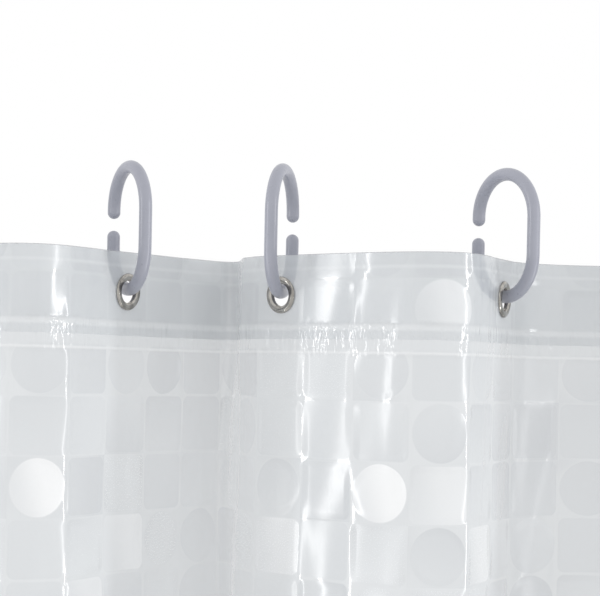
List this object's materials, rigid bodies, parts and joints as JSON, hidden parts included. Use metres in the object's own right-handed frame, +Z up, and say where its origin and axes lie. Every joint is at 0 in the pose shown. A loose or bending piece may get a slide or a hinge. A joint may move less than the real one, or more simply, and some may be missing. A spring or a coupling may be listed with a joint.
{
  "type": "shower curtain",
  "caption": "Frosted translucent shower curtain film with embossed circles and rounded squares, gathered in pleats and hung by metal eyelets from C-shaped plastic rings.",
  "frame": {"origin": "on the axis of the rail that the rings hang on, halfway between the first ring and the last", "axes": "+X along the rail to the right as seen from the room, +Y away from the room, +Z up"},
  "size_m": [1.1398, 0.126, 1.8427],
  "materials": {
    "film": "frosted translucent film with a glossy face and an embossed pattern of circles and rounded squares",
    "eyelet_metal": "bright nickel-plated pressed metal",
    "ring": "smooth satin moulded plastic, pale lavender grey"
  },
  "bodies": {
    "ring_01": {"ring_01": "ring"},
    "panel_01": {"film_01": "film", "eyelet_01": "eyelet_metal", "washer_01": "eyelet_metal"},
    "panel_02": {"film_02": "film", "eyelet_02": "eyelet_metal", "washer_02": "eyelet_metal"},
    "panel_03": {"film_03": "film", "eyelet_03": "eyelet_metal", "washer_03": "eyelet_metal"},
    "panel_04": {"film_04": "film", "eyelet_04": "eyelet_metal", "washer_04": "eyelet_metal"},
    "panel_05": {"film_05": "film", "eyelet_05": "eyelet_metal", "washer_05": "eyelet_metal"},
    "panel_06": {"film_06": "film", "eyelet_06": "eyelet_metal", "washer_06": "eyelet_metal"},
    "panel_07": {"film_07": "film", "eyelet_07": "eyelet_metal", "washer_07": "eyelet_metal"},
    "panel_08": {"film_08": "film", "eyelet_08": "eyelet_metal", "washer_08": "eyelet_metal"},
    "panel_09": {"film_09": "film", "eyelet_09": "eyelet_metal", "washer_09": "eyelet_metal"},
    "panel_10": {"film_10": "film", "eyelet_10": "eyelet_metal", "washer_10": "eyelet_metal"},
    "panel_11": {"film_11": "film", "eyelet_11": "eyelet_metal", "washer_11": "eyelet_metal"},
    "panel_12": {"film_12": "film", "eyelet_12": "eyelet_metal", "washer_12": "eyelet_metal"},
    "ring_02": {"ring_02": "ring"},
    "ring_03": {"ring_03": "ring"},
    "ring_04": {"ring_04": "ring"},
    "ring_05": {"ring_05": "ring"},
    "ring_06": {"ring_06": "ring"},
    "ring_07": {"ring_07": "ring"},
    "ring_08": {"ring_08": "ring"},
    "ring_09": {"ring_09": "ring"},
    "ring_10": {"ring_10": "ring"},
    "ring_11": {"ring_11": "ring"},
    "ring_12": {"ring_12": "ring"},
    "flap_left": {"flap_left": "film"},
    "flap_right": {"flap_right": "film"}
  },
  "joints": [
    {"name": "draw", "type": "hinge", "parent": "ring_01", "child": "panel_01", "pos_m": [-0.5145, 0, -0.0395], "axis": [0, 0, 1], "range_deg": [-26, 6]},
    {"name": "fold_01", "type": "hinge", "parent": "panel_01", "child": "panel_02", "pos_m": [-0.46843, 0.05748, -0.9222], "axis": [0, 0, 1], "range_deg": [-12, 52]},
    {"name": "fold_02", "type": "hinge", "parent": "panel_02", "child": "panel_03", "pos_m": [-0.38032, -0.05474, -0.9222], "axis": [0, 0, 1], "range_deg": [-52, 12]},
    {"name": "fold_03", "type": "hinge", "parent": "panel_03", "child": "panel_04", "pos_m": [-0.29035, 0.04976, -0.9222], "axis": [0, 0, 1], "range_deg": [-12, 52]},
    {"name": "fold_04", "type": "hinge", "parent": "panel_04", "child": "panel_05", "pos_m": [-0.19039, -0.04727, -0.9222], "axis": [0, 0, 1], "range_deg": [-52, 12]},
    {"name": "fold_05", "type": "hinge", "parent": "panel_05", "child": "panel_06", "pos_m": [-0.1032, 0.05126, -0.9222], "axis": [0, 0, 1], "range_deg": [-12, 52]},
    {"name": "fold_06", "type": "hinge", "parent": "panel_06", "child": "panel_07", "pos_m": [-0.01538, -0.0408, -0.9222], "axis": [0, 0, 1], "range_deg": [-52, 12]},
    {"name": "fold_07", "type": "hinge", "parent": "panel_07", "child": "panel_08", "pos_m": [0.09954, 0.03099, -0.9222], "axis": [0, 0, 1], "range_deg": [-12, 52]},
    {"name": "fold_08", "type": "hinge", "parent": "panel_08", "child": "panel_09", "pos_m": [0.20272, -0.05423, -0.9222], "axis": [0, 0, 1], "range_deg": [-52, 12]},
    {"name": "fold_09", "type": "hinge", "parent": "panel_09", "child": "panel_10", "pos_m": [0.29009, 0.0547, -0.9222], "axis": [0, 0, 1], "range_deg": [-12, 52]},
    {"name": "fold_10", "type": "hinge", "parent": "panel_10", "child": "panel_11", "pos_m": [0.37967, -0.05568, -0.9222], "axis": [0, 0, 1], "range_deg": [-52, 12]},
    {"name": "fold_11", "type": "hinge", "parent": "panel_11", "child": "panel_12", "pos_m": [0.46806, 0.05608, -0.9222], "axis": [0, 0, 1], "range_deg": [-12, 52]},
    {"name": "ring_02_turn", "type": "hinge", "parent": "panel_02", "child": "ring_02", "pos_m": [-0.4225, 0, -0.0395], "axis": [0, 0, 1], "range_deg": [-13, 3]},
    {"name": "ring_03_turn", "type": "hinge", "parent": "panel_03", "child": "ring_03", "pos_m": [-0.3385, 0, -0.0395], "axis": [0, 0, 1], "range_deg": [-3, 13]},
    {"name": "ring_04_turn", "type": "hinge", "parent": "panel_04", "child": "ring_04", "pos_m": [-0.2425, 0, -0.0395], "axis": [0, 0, 1], "range_deg": [-13, 3]},
    {"name": "ring_05_turn", "type": "hinge", "parent": "panel_05", "child": "ring_05", "pos_m": [-0.1385, 0, -0.0395], "axis": [0, 0, 1], "range_deg": [-3, 13]},
    {"name": "ring_06_turn", "type": "hinge", "parent": "panel_06", "child": "ring_06", "pos_m": [-0.0675, 0, -0.0395], "axis": [0, 0, 1], "range_deg": [-13, 3]},
    {"name": "ring_07_turn", "type": "hinge", "parent": "panel_07", "child": "ring_07", "pos_m": [0.0365, 0, -0.0395], "axis": [0, 0, 1], "range_deg": [-3, 13]},
    {"name": "ring_08_turn", "type": "hinge", "parent": "panel_08", "child": "ring_08", "pos_m": [0.1625, 0, -0.0395], "axis": [0, 0, 1], "range_deg": [-13, 3]},
    {"name": "ring_09_turn", "type": "hinge", "parent": "panel_09", "child": "ring_09", "pos_m": [0.2425, 0, -0.0395], "axis": [0, 0, 1], "range_deg": [-3, 13]},
    {"name": "ring_10_turn", "type": "hinge", "parent": "panel_10", "child": "ring_10", "pos_m": [0.3375, 0, -0.0395], "axis": [0, 0, 1], "range_deg": [-13, 3]},
    {"name": "ring_11_turn", "type": "hinge", "parent": "panel_11", "child": "ring_11", "pos_m": [0.4215, 0, -0.0395], "axis": [0, 0, 1], "range_deg": [-3, 13]},
    {"name": "ring_12_turn", "type": "hinge", "parent": "panel_12", "child": "ring_12", "pos_m": [0.5145, 0, -0.0395], "axis": [0, 0, 1], "range_deg": [-13, 3]},
    {"name": "flap_left_swing", "type": "hinge", "parent": "panel_01", "child": "flap_left", "pos_m": [-0.52531, -0.01683, -0.9222], "axis": [0, 0, 1], "range_deg": [-35, 35]},
    {"name": "flap_right_swing", "type": "hinge", "parent": "panel_12", "child": "flap_right", "pos_m": [0.5256, -0.01664, -0.9222], "axis": [0, 0, 1], "range_deg": [-35, 35]}
  ],
  "couplings": [
    {"joint": "fold_01", "follows": "draw", "ratio": -2},
    {"joint": "fold_02", "follows": "draw", "ratio": 2},
    {"joint": "fold_03", "follows": "draw", "ratio": -2},
    {"joint": "fold_04", "follows": "draw", "ratio": 2},
    {"joint": "fold_05", "follows": "draw", "ratio": -2},
    {"joint": "fold_06", "follows": "draw", "ratio": 2},
    {"joint": "fold_07", "follows": "draw", "ratio": -2},
    {"joint": "fold_08", "follows": "draw", "ratio": 2},
    {"joint": "fold_09", "follows": "draw", "ratio": -2},
    {"joint": "fold_10", "follows": "draw", "ratio": 2},
    {"joint": "fold_11", "follows": "draw", "ratio": -2},
    {"joint": "ring_02_turn", "follows": "draw", "ratio": 0.5},
    {"joint": "ring_03_turn", "follows": "draw", "ratio": -0.5},
    {"joint": "ring_04_turn", "follows": "draw", "ratio": 0.5},
    {"joint": "ring_05_turn", "follows": "draw", "ratio": -0.5},
    {"joint": "ring_06_turn", "follows": "draw", "ratio": 0.5},
    {"joint": "ring_07_turn", "follows": "draw", "ratio": -0.5},
    {"joint": "ring_08_turn", "follows": "draw", "ratio": 0.5},
    {"joint": "ring_09_turn", "follows": "draw", "ratio": -0.5},
    {"joint": "ring_10_turn", "follows": "draw", "ratio": 0.5},
    {"joint": "ring_11_turn", "follows": "draw", "ratio": -0.5},
    {"joint": "ring_12_turn", "follows": "draw", "ratio": 0.5}
  ]
}
